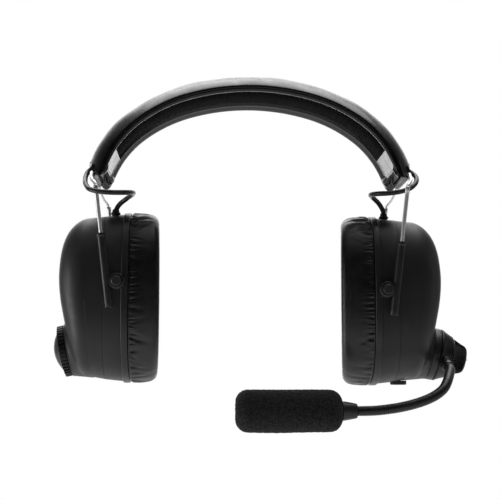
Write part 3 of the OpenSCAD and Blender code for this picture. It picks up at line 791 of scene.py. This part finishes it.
def hoop(profile, s, y0, z0, tapered):
    """Closed ring round the cup: profile is (x, inset) pairs, a loop."""
    rings = []
    for x, inset in profile:
        k = taper(x) if tapered else 1
        p = superellipse(ANG, y0 - inset / k, z0 - inset / k) * k
        rings.append(cup_world(np.stack([np.full(CUP_N, x), p[:, 0], p[:, 1]], 1), s))
    return looped(np.array(rings))


def rounded(x0, x1, depth_in, r):
    """Section loop of a hoop between x0 and x1, rounded at its two outer edges."""
    arc0 = [(x0 + r - r * cos(t), r - r * sin(t)) for t in np.linspace(0, pi / 2, 5)]
    arc1 = [(x1 - r + r * sin(t), r - r * cos(t)) for t in np.linspace(0, pi / 2, 5)]
    return [(x0, depth_in)] + arc0 + arc1 + [(x1, depth_in)]


def make_cup_rings(s):
    side = SIDE[s]
    edge = hoop(rounded(FLANGE_X, FLANGE_X + RING_T, 6, 0.7), s, CUP_W / 2, CUP_H / 2, False)
    ring = make(f"{side}_flange_ring", *edge, f"{side}_cup", M_SATIN)
    finish_piece(ring, f"{side}_cup_ring", 40)
    section = rounded(FLANGE_X + RING_T + 0.05, SEAM_X - 0.03, WALL, SEAM_EDGE)
    wall = make(f"{side}_cup_wall", *hoop(section, s, HY, HZ, True), f"{side}_cup", M_SHELL)
    finish_piece(wall, f"{side}_cup_frame", 40)
    for y, end in ((-1, "front"), (1, "rear")):  # pads behind the pivots
        at = np.array((s * PIVOT_X, y * 35.6, PIVOT_Z[s]))
        rings = lathe([(2.2, 0), (2.2, 2.4), (1.95, 2.7)], 40, at, (0, y, 0), (1, 0, 0))
        pad = make(f"{side}_pivot_pad_{end}", *capped(rings), f"{side}_cup", M_SHELL)
        finish_piece(pad, angle=35)


# ---- ear cushions

RIM_W, CUSHION_T = 15.0, 16.7
CUSHION_SECTION = [(0, 0.06), (0, 0.3), (0, 0.6), (0, 0.94), (-0.5, 0.985), (-1.6, 1), (-4, 1.005),
                   (-6.5, 1.005), (-9, 0.995), (-11.2, 0.975), (-13, 0.945), (-14.4, 0.895),
                   (-15.5, 0.83), (-16.2, 0.76), (-16.6, 0.67), (-16.7, 0.57), (-16.7, 0.45),
                   (-16.6, 0.34), (-16.3, 0.22), (-15.7, 0.12), (-14.7, 0.05), (-13.4, 0.015),
                   (-11.5, 0), (-9, 0), (-6, 0), (-3.4, 0), (-1.2, 0.01)]


def cushion_mesh(shrink, lean):
    """Rings of the cushion, each a closed section; shrink pulls the skin in before it is inflated.
    lean is how much thicker it is toward the front, a mm."""
    prof = np.array(CUSHION_SECTION)
    n = len(ANG)
    o = superellipse(ANG, CUP_W / 2, CUP_H / 2)
    i = superellipse(ANG, CUP_W / 2 - RIM_W, CUP_H / 2 - RIM_W - 2)
    rings = np.zeros((n, len(prof), 3))
    for k, (x, w) in enumerate(prof):
        ww = 0.5 + (w - 0.5) * (1 - shrink)
        xx = x * (1 - shrink) if x < -2 else x
        q = i + (o - i) * ww
        rings[:, k, 0] = FLANGE_X - 0.08 + xx
        rings[:, k, 1:] = q
    rings[:, :, 0] += lean * rings[:, :, 1] * smoothstep(0, CUSHION_T, FLANGE_X - rings[:, :, 0])
    return rings


def inflate(ob, held, cap_mm):
    """Blows the skin up as cloth over its filling, then keeps the result."""
    start = points_of(ob.data)
    group = ob.vertex_groups.new(name="held")
    group.add(held, 1.0, "REPLACE")
    cloth = ob.modifiers.new("cloth", "CLOTH")
    st = cloth.settings
    st.quality = 6
    st.mass = 0.25
    st.tension_stiffness = st.compression_stiffness = 18
    st.shear_stiffness = 8
    st.bending_stiffness = 0.4
    st.use_pressure = True
    st.uniform_pressure_force = 4
    st.vertex_group_mass = "held"
    st.effector_weights.gravity = 0
    scene = bpy.context.scene
    for f in range(1, 21):
        scene.frame_set(f)
    done = bpy.data.meshes.new_from_object(ob.evaluated_get(bpy.context.evaluated_depsgraph_get()))
    move = points_of(done) - start
    size = np.linalg.norm(move, axis=1, keepdims=True)
    move *= np.minimum(1, cap_mm * MM / np.maximum(size, 1e-9))
    ob.modifiers.clear()
    ob.vertex_groups.clear()
    bpy.data.meshes.remove(done)
    ob.data.vertices.foreach_set("co", (start + move).ravel())
    ob.data.update()
    scene.frame_set(1)


def denser(grid, times, axis):
    """A closed grid of points with times as many rows, on a smooth curve through the old ones."""
    before, after, beyond = (np.roll(grid, k, axis) for k in (1, -1, -2))
    t = (np.arange(times) / times).reshape((times,) + (1,) * grid.ndim)
    out = np.moveaxis(spline(before, grid, after, beyond, t), 0, axis + 1)
    shape = list(grid.shape)
    shape[axis] *= times
    return out.reshape(shape)


def gathers(rng, arc, across, count, slant, reach, depth_mm):
    """Folds that run in from a seam: narrow valleys with soft rolls between them."""
    cuts = np.sort((np.arange(count) + rng.uniform(-0.38, 0.38, count)) / count)
    length = reach * rng.uniform(0.35, 1.0, count)
    deep = depth_mm * rng.uniform(0.35, 1.0, count)
    lean = slant * rng.uniform(-1, 1, count)
    out = np.zeros(np.broadcast(arc, across).shape)
    for c, l, d, tilt in zip(cuts, length, deep, lean):
        off = (arc - c - tilt * across * 0.001 + 0.5) % 1 - 0.5
        wide = 0.30 / count * (1 + 0.05 * across)
        fade = np.exp(-(across / l) ** 2)
        out += fade * d * (0.32 * np.exp(-(off / (2.3 * wide)) ** 2) - np.exp(-(off / wide) ** 2))
    return out


def cushion_wrinkles(s, turn, height, across_out, across_in):
    """Depth of the folds in mm: turn is the place round the cup, across the way from a seam."""
    rng = np.random.default_rng(41 + s)
    region = 0.12 + 0.88 * smoothstep(-12, -34, height) + 0.80 * smoothstep(26, 42, height)
    big = gathers(rng, turn, across_out, 78, 2.2, 11.5, 1.4)
    fine = gathers(rng, turn, across_out, 150, 0.8, 4.2, 0.55)
    inner = gathers(rng, turn, across_in, 110, 0.6, 6.0, 0.6)
    return big * region + fine + inner


def make_ear_cushion(s):
    side = SIDE[s]
    m = len(CUSHION_SECTION)
    rings = cushion_mesh(0.04, 0.07 if s == LEFT else 0.12)
    ob = make(f"{side}_ear_cushion_filling", *looped(cup_world(rings, s)), f"{side}_cup", M_CUSHION)
    held = [j * m + k for j in range(CUP_N) for k in (0, 1, 2, 3, 4, m - 1)]
    inflate(ob, held, 0.7)
    soft = points_of(ob.data).reshape(CUP_N, m, 3) / MM
    bpy.data.objects.remove(ob)
    round_n, section_n = 5, 2
    skin = denser(denser(soft, section_n, 1), round_n, 0)
    nu = len(skin)
    ob = make(f"{side}_ear_cushion_skin", *looped(skin), f"{side}_cup", M_CUSHION)
    walk = np.linalg.norm(np.diff(skin, axis=1, append=skin[:, :1]), axis=2)
    seam_out, seam_in = 4 * section_n, (m - 1) * section_n
    run = np.concatenate([np.zeros((nu, 1)), np.cumsum(walk, 1)[:, :-1]], 1)
    across_out = np.maximum(run - run[:, seam_out:seam_out + 1], 0)
    across_in = np.maximum(run[:, seam_in:seam_in + 1] - run, 0)
    turn = (np.arange(nu) / nu)[:, None]
    d = cushion_wrinkles(s, turn, skin[:, :, 2] - CUP_Z[s], across_out, across_in)
    d *= smoothstep(0, 1.2, across_out) * smoothstep(0, 1.0, across_in)
    d -= 0.25 * np.exp(-((run - run[:, seam_out:seam_out + 1]) / 0.5) ** 2)
    push_out(ob.data, d * MM)
    finish_piece(ob, f"{side}_ear_cushion")


# ---- sliders

def make_bail(s):
    side = SIDE[s]
    end = rod_point(1, -ROD_Y, -66)
    x, _, z = HINGE
    half = [(x, -21.5, z), (x, -23.6, z - 0.4), (x - 0.1, -26, z - 1.8), (x - 0.6, -31, z - 4.6),
            (x - 1.8, -37, z - 7.6), (end[0] + 0.8, -ROD_Y + 0.7, -61.6),
            (end[0] + 0.2, -ROD_Y, -64.4), tuple(end)]
    front = curve_through(half, 8)
    rear = front[::-1] * np.array((1, -1, 1))
    path, _ = even(mirror(np.vstack([rear, front]), s), 0.8)
    radius = 0.8 + 0.3 * smoothstep(22.5, 26, -path[:, 1]) - 0.05 * smoothstep(22.5, 26, path[:, 1])
    ob = tube(f"{side}_spring_wire", path, radius, f"{side}_fork", M_STEEL, 16)
    finish_piece(ob, f"{side}_bail_wire")


def rod_frame(s, y, z):
    axis = np.array((s * sin(ROD_TILT), 0, cos(ROD_TILT)))
    return rod_point(s, y, z), axis


def make_rod(s, y):
    side, end = SIDE[s], "front" if y < 0 else "rear"
    at, axis = rod_frame(s, y, ROD_LOW)
    length = 68.5
    prof = [(0.7, 0), (1.05, 0.12), (1.2, 0.4)]
    prof += [(1.2, h) for h in np.linspace(2, length - 4.6, 24)]
    prof += [(1.2, length - 4.2), (1.32, length - 3.9), (1.36, length - 1.2), (1.2, length - 0.3),
             (0.95, length)]
    ob = make(f"{side}_{end}_rod_tube", *capped(lathe(prof, 32, at, axis)), f"{side}_fork", M_STEEL)
    finish_piece(ob, f"{side}_{end}_rod", 50)
    band = [(1.22, 65.2), (1.40, 65.4), (1.42, 67.0), (1.38, 68.5), (1.15, 68.9), (0.85, 69.0)]
    rings = lathe(band, 28, at, axis)
    crimp = make(f"{side}_{end}_wire_crimp", *capped(rings), f"{side}_fork", M_STEEL)
    finish_piece(crimp, angle=45)


def make_sleeve(s, y):
    side, end, f = SIDE[s], "front" if y < 0 else "rear", np.sign(y)
    length = 43.6
    low = PIVOT_Z[s] + 6.35 - length / 2 * cos(ROD_TILT)
    at, axis = rod_frame(s, y, low)
    prof = [(1.27, 0.6), (1.3, 0), (2.1, 0), (2.32, 0.1), (2.4, 0.35), (2.4, 4)]
    prof += [(2.4, h) for h in np.linspace(8, length - 2.4, 8)]
    prof += [(2.45, length - 2.0), (2.72, length - 1.7), (2.8, length - 1.4), (2.8, length - 0.4),
             (2.66, length - 0.08), (2.4, length), (1.35, length), (1.27, length - 0.5)]
    verts, faces = looped(lathe(prof, 48, at, axis))
    boss_at = np.array((s * PIVOT_X, f * 38.7, PIVOT_Z[s]))
    prof = [(1.6, 0.3), (1.7, 0), (4.3, 0), (4.58, 0.15), (4.65, 0.5), (4.65, 5.4), (4.52, 5.8),
            (4.2, 6.0), (3.35, 6.0), (3.2, 5.85), (3.2, 5.4), (1.6, 5.4)]
    boss, boss_faces = looped(lathe(prof, 64, boss_at, (0, f, 0), (1, 0, 0)))
    faces += [tuple(i + len(verts) for i in q) for q in boss_faces]
    verts = np.vstack([verts, boss])
    ob = make(f"{side}_{end}_slider_sleeve", verts, faces, f"{side}_yoke", M_SATIN)
    finish_piece(ob, f"{side}_{end}_sleeve", 42)
    web = bpy.data.meshes.new(f"{side}_{end}_sleeve_web")
    bm = bmesh.new()
    for x in (s * (PIVOT_X + 3.6), rod_point(s, y, PIVOT_Z[s])[0] - s * 1.9):
        for dy in (-1.5, 1.5):
            for dz in (-3.1, 3.1):
                bm.verts.new(Vector((x, f * 41.6 + dy, PIVOT_Z[s] + dz)) * MM)
    bmesh.ops.convex_hull(bm, input=bm.verts)
    bm.to_mesh(web)
    bm.free()
    web.materials.append(M_SATIN)
    ob = place(f"{side}_{end}_sleeve_web", web)
    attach(ob, f"{side}_yoke")
    edge = ob.modifiers.new("edge", "BEVEL")
    edge.width = 0.7 * MM
    edge.segments = 3
    edge.limit_method = "ANGLE"
    edge.angle_limit = radians(30)
    edge.harden_normals = True


def make_grommet(s):
    side = SIDE[s]
    at = np.array((s * LEAD_X, LEAD_Y[s], CUP_TOP[s]))
    prof = [(1.62, -1), (2.4, -1), (2.45, 0.5), (3.0, 0.62), (3.1, 0.85), (3.0, 1.2), (2.6, 1.55),
            (2.15, 2.6), (1.95, 3.6), (1.62, 3.7)]
    rings = lathe(prof, 40, at, (0, 0, 1), (1, 0, 0))
    ob = make(f"{side}_lead_boot", *looped(rings), f"{side}_cup", M_PLUG)
    finish_piece(ob, f"{side}_grommet", 50)


# ---- left dial

def make_dial():
    ribs = 40

    def ribbed(r, h, ang):
        tooth = smoothstep(-0.25, 0.25, np.cos(ribs * ang))
        on = 1.0 if 0.6 < h < 4.4 and r > 14 else 0.0
        return r + 0.75 * tooth * on

    prof = [(13.05, 2.65), (13.05, 4.35), (13.2, 4.5), (14.5, 4.55), (14.75, 4.5), (14.9, 4.41),
            (14.95, 4.3), (14.95, 3.0), (14.95, 1.6), (14.95, 0.7), (14.9, 0.55), (14.8, 0.3),
            (14.5, 0.16), (4.2, 0.16), (4.2, 1.6), (4.2, 2.65)]
    turned("left_dial_rim", prof, ribs * 10, LEFT, "left_dial", M_DARK, "left_dial_ring", ribbed)
    radius = 19.7
    low = 4.1 + 4.9 - radius
    prof = [(9.9, 4.25), (12.6, 4.2), (12.85, 4.3)]
    prof += [(radius * sin(t), low + radius * cos(t))
             for t in np.linspace(asin(12.86 / radius), 0.02, 22)]
    turned("left_dial_cap", prof, 128, LEFT, "left_button", M_SATIN, "left_dial_button",
           skin=capped, angle=40)


# ---- boom, knob and microphone

SEAT_AT, AXIS_R = seat_frame(RIGHT)
CROSS_1 = np.array((0, -1.0, 0))
CROSS_2 = np.array((-sin(TILT), 0, -cos(TILT)))
BOOM_DIR = cos(radians(17)) * CROSS_1 + sin(radians(17)) * CROSS_2
BOOM_HEIGHT = 8.4  # of the boom's axis over the seat
NECK_D = 5.8
MIC = np.array((49.7, -60, -193.9))


def boom_at(distance):
    """Point on the boom's straight start, at a distance from the swivel's axis."""
    return SEAT_AT + BOOM_HEIGHT * AXIS_R + distance * BOOM_DIR


def make_boom_mount():
    prof = [(2.1, 0.1), (15.8, 0.1), (16.05, 0.35), (16.1, 0.9), (16.1, 3.6), (15.95, 4.05),
            (15.6, 4.28), (6.2, 4.3), (6.0, 4.5), (6.0, 12.1), (5.8, 12.35), (2.1, 12.35)]
    turned("boom_mount_base", prof, 160, RIGHT, "right_cup", M_SATIN, "boom_base")
    prof = [(6.3, 4.5), (15.5, 4.5), (15.85, 4.62), (16.0, 4.85), (16.0, 5.3), (15.85, 5.75),
            (15.5, 6.15), (14.4, 8.3), (13.3, 10.7), (13.0, 11.5), (12.8, 12.15), (12.3, 12.5),
            (6.5, 12.5), (6.3, 12.3)]
    turned("boom_collar_cone", prof, 160, RIGHT, "boom", M_DARK, "boom_collar")
    spout = [(3.3, 11.7), (3.77, 11.9), (3.8, 15.0), (3.7, 15.7), (3.45, 16.0), (2.4, 16.05)]
    ob = make("boom_spout", *capped(lathe(spout, 64, boom_at(0), BOOM_DIR, AXIS_R)), "boom", M_DARK)
    finish_piece(ob, angle=40)
    prof = [(2.2, 13), (2.2, 16.1), (3.3, 16.12), (3.55, 16.3), (3.6, 16.6), (3.6, 23.2),
            (3.55, 24.3), (3.35, 25.1), (3.15, 25.3), (2.8, 25.3)]
    rings = lathe(prof, 64, boom_at(0), BOOM_DIR, AXIS_R)
    ferrule = make("boom_ferrule_sleeve", *capped(rings), "boom", M_BLACKENED)
    finish_piece(ferrule, "boom_ferrule", 40)


def make_knob():
    ribs = 56

    def ribbed(r, h, ang):
        on = smoothstep(13.2, 13.8, h) * (1 - smoothstep(20.8, 21.4, h)) * (r > 5)
        return r + 0.36 * on * np.cos(ribs * ang)

    prof = [(2.1, 13.2), (2.1, 12.75), (10.9, 12.75), (11.2, 12.9), (11.3, 13.15), (11.25, 13.5)]
    prof += [(11.25 - 3.25 * t - 0.2 * sin(pi * t), 13.5 + 7.5 * t)
             for t in np.linspace(0.1, 1, 12)]
    prof += [(7.85, 21.4), (7.55, 21.8), (7.1, 22.02), (6.4, 22.1), (5.4, 22.02), (5.1, 21.75),
             (4.8, 21.65), (0.3, 21.6)]
    turned("volume_knob_cap", prof, ribs * 8, RIGHT, "volume_knob", M_DARK, "volume_knob", ribbed,
           capped)
    start = SEAT_AT + AXIS_R * 21.7 + CROSS_1 * 5.6
    stop = SEAT_AT + AXIS_R * 22.14 + CROSS_1 * 7.0
    line = tube_points(np.array([start, (start + stop) / 2, stop]), 0.42, 10)
    mark = make("volume_knob_mark", *capped(line), "volume_knob", M_SATIN)


def make_neck():
    route = [boom_at(21.1), boom_at(26.5), boom_at(33), (112.6, -45, -178), (108.4, -51.5, -182.4),
             (101.5, -56, -186.4), (92.5, -58.8, -189.6), (82, -60, -192), (71, -60, -193.5),
             (63, -60, -193.9), (56.1, -60, -193.9)]
    path, dist = even(curve_through(route, 12), 0.2)
    ridge = 0.5 + 0.5 * np.cos(2 * pi * dist / 1.2)
    grow = smoothstep(14, 46, dist)
    radius = NECK_D / 2 - 0.28 * grow * (1 - ridge ** 0.7)
    ob = tube("gooseneck_sleeve", path, radius, "boom", M_NECK, 24)
    finish_piece(ob, "gooseneck")


def make_mic():
    def boxy(r, h, ang):
        return r * (1 - 0.0495 * smoothstep(-1, 8, h) * np.cos(4 * ang))

    prof = [(3.9, -21.7), (4.0, -21.4), (4.0, -0.4), (5.1, 0.15), (5.45, 0.35), (5.5, 0.8),
            (5.4, 1.8), (4.9, 5.2), (4.45, 7.6), (4.25, 8.25), (3.95, 8.45), (3.0, 8.45),
            (2.96, 8.0)]
    rings = lathe(prof, 96, MIC, (1, 0, 0), (0, 0, 1), boxy)
    ob = make("mic_body", *capped(rings), "boom", M_SATIN)
    finish_piece(ob, "mic_housing", 40)


def make_windscreen():
    length, r, c = 60.0, 12.0, 7.0
    prof = [(0.2, 0.0)]
    prof += [(x, 0.0) for x in np.linspace(0.9, r - c, 8)]
    prof += [(r - c + c * sin(t), c - c * cos(t)) for t in np.linspace(0.06, pi / 2, 16)]
    prof += [(r, h) for h in np.linspace(c + 0.6, length - c - 0.6, 76)]
    prof += [(r - c + c * cos(t), length - c + c * sin(t))
             for t in np.linspace(0.0, pi / 2 - 0.06, 16)]
    prof += [(x, length) for x in np.linspace(r - c, 4.06, 4)]
    prof += [(4.05, length - 0.5), (4.05, length - 6)]

    def soft(rr, h, ang):
        if rr < 4.2:
            return np.full(len(ang), rr)
        slow = 0.16 * np.sin(2 * ang + h / 14) + 0.12 * np.sin(3 * ang - h / 9 + 1)
        return rr * (1 + slow / 12) - 0.12

    origin = MIC - np.array((length, 0, 0))
    rings = lathe(prof, 200, origin, (1, 0, 0), (0, 0, 1), soft)
    ob = make("windscreen_foam_ball", *capped(rings), "boom", M_FOAM)
    co = points_of(ob.data)
    rough = np.array([noise.noise(Vector(p * 900)) + 0.6 * noise.noise(Vector(p * 2100))
                      for p in co])
    outside = np.linalg.norm(co[:, 1:] / MM - MIC[1:], axis=1) > 4.3
    push_out(ob.data, rough * 0.24 * MM * outside)
    finish_piece(ob, "foam_windscreen")


def make_port_plug():
    steps = [(0.35, 0.55), (0.0, 0.3), (0.0, -1.35), (0.12, -1.7), (0.45, -1.95), (0.9, -2.05),
             (2.2, -2.07)]
    ob = make("port_plug_cap", *capped(oval(PORT_AT, 10, 7, steps)), "port_cover", M_PLUG)
    finish_piece(ob, "port_cover", 50)


# ---- materials on the CAD pieces that show

SLOT_LOOK = {
    "leatherette": M_BAND, "cushion_skin": M_CUSHION, "pad_fabric": M_PAD, "foam": M_LINER,
    "windscreen_foam": M_FOAM, "steel": M_STEEL, "nickel": M_NICKEL, "black_metal": M_BLACKENED,
    "black_rubber": M_RUBBER, "rubber": M_PLUG, "board": M_BOARD, "battery": M_FOIL,
    "satin_plastic": M_SATIN, "matte_plastic": M_SHELL,
}


def dress_cad():
    for part in frame["record"]["subparts"]:
        ob = NODES[part["node"]]
        look = SLOT_LOOK[part["material_slot"]]
        if not ob.material_slots:
            ob.data.materials.append(look)
        for slot in ob.material_slots:
            slot.material = look


# ---- studio

FLOOR_Z, FLOOR_HALF = -0.48, 2.0  # metres; its far edge stays below the camera's view


def make_world():
    """White backdrop, with most of the light from behind and above."""
    world = bpy.data.worlds.new("studio")
    bpy.context.scene.world = world
    world.use_nodes = True
    world.node_tree.nodes.clear()
    new, link = world.node_tree.nodes.new, world.node_tree.links.new
    sep = new("ShaderNodeSeparateXYZ")
    link(new("ShaderNodeTexCoord").outputs["Generated"], sep.inputs[0])

    def ramp(value, lo, hi, a, b):
        n = new("ShaderNodeMapRange")
        n.interpolation_type = "SMOOTHSTEP"
        for key, v in zip(("From Min", "From Max", "To Min", "To Max"), (lo, hi, a, b)):
            n.inputs[key].default_value = v
        link(value, n.inputs["Value"])
        return n.outputs["Result"]

    def op(kind, *values):
        n = new("ShaderNodeMath")
        n.operation = kind
        for socket, value in zip(n.inputs, values):
            link(value, socket)
        return n.outputs[0]

    x, y, z = sep.outputs
    level = op("MULTIPLY", ramp(y, 0.15, 0.97, 0.012, 2.5),
               ramp(op("ABSOLUTE", x), 0.2, 0.6, 1.0, 0.12))
    level = op("ADD", level, ramp(z, 0.62, 1.0, 0.0, 0.6))
    level = op("ADD", level, ramp(z, -0.98, -0.3, 0.16, 0.0))
    light, backdrop = new("ShaderNodeBackground"), new("ShaderNodeBackground")
    for n in (light, backdrop):
        n.inputs["Color"].default_value = (1, 1, 1, 1)
    backdrop.inputs["Strength"].default_value = 1.0
    link(level, light.inputs["Strength"])
    mix = new("ShaderNodeMixShader")
    link(new("ShaderNodeLightPath").outputs["Is Camera Ray"], mix.inputs[0])
    link(light.outputs[0], mix.inputs[1])
    link(backdrop.outputs[0], mix.inputs[2])
    link(mix.outputs[0], new("ShaderNodeOutputWorld").inputs["Surface"])


def area_light(name, at, aim, size, power):
    data = bpy.data.lights.new(name, "AREA")
    data.shape = "RECTANGLE"
    data.size, data.size_y = size
    data.energy = power
    ob = place(name, data)
    ob.location = at
    ob.rotation_euler = (Vector(aim) - Vector(at)).to_track_quat("-Z", "Y").to_euler()


def make_studio():
    make_world()
    view = bpy.context.scene.view_settings
    view.view_transform = "Standard"
    view.look = "None"
    area_light("top", (0.1, 0.35, 1.0), (0, 0, -0.1), (1.4, 0.8), 9)
    area_light("left", (-1.2, -0.1, -0.25), (-0.05, 0, -0.12), (0.5, 0.7), 5.0)
    area_light("right", (1.2, 0.0, 0.1), (0.05, 0, -0.12), (0.5, 0.9), 0.5)
    me = bpy.data.meshes.new("floor")
    z, r = FLOOR_Z, FLOOR_HALF
    me.from_pydata([(-r, -r, z), (r, -r, z), (r, r, z), (-r, r, z)], [], [(0, 1, 2, 3)])
    floor = place("floor", me)
    look = Mat("floor_paper", (0.93, 0.93, 0.93), 0.8)
    look.bump(look.noise(300, 2), 0.05, 0.2)
    me.materials.append(look.m)


# ---- everything in turn

make_camera()
make_leads()
make_band_cover()
make_band_pad()
for cup_side in SIDES:
    make_cup_cover(cup_side)
    make_cup_rings(cup_side)
for cup_side in SIDES:
    make_ear_cushion(cup_side)
for fork_side in SIDES:
    make_bail(fork_side)
    for rod_y in (-ROD_Y, ROD_Y):
        make_rod(fork_side, rod_y)
        make_sleeve(fork_side, rod_y)
for cup_side in SIDES:
    make_grommet(cup_side)
make_dial()
make_boom_mount()
make_knob()
make_neck()
make_mic()
make_windscreen()
make_port_plug()
dress_cad()
make_studio()
